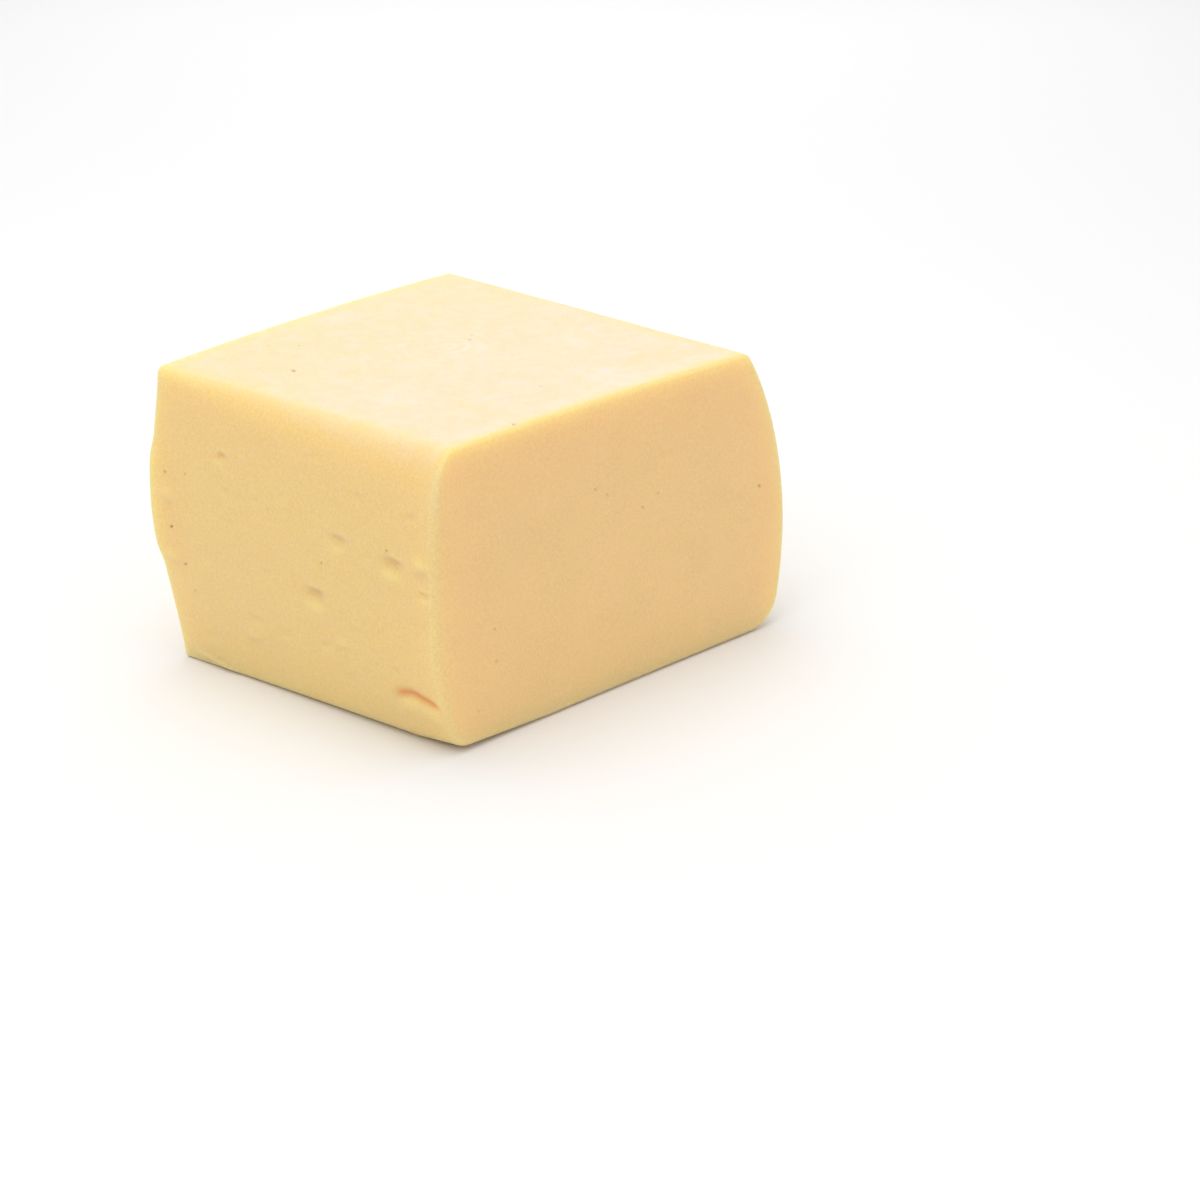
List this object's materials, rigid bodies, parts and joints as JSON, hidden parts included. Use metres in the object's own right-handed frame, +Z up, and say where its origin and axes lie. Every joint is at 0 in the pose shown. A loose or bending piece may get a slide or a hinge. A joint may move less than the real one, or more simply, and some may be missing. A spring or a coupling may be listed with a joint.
{
  "type": "mozzarella cheese block",
  "caption": "Half a loaf of low-moisture mozzarella, as cut: a pale yellow block with a flat cut face, one soft long edge, a bulging side and a flat base to stand on.",
  "frame": {"origin": "middle of the base of the block's box, on the surface that the block stands on", "axes": "+X across the loaf, from the soft-edged side to the bulging side; +Y along the loaf, away from the wire-cut face; +Z up"},
  "size_m": [0.1702, 0.1466, 0.1045],
  "materials": {
    "mozzarella": "satin"
  },
  "bodies": {
    "root": {"mozzarella_block": "mozzarella"}
  },
  "joints": []
}
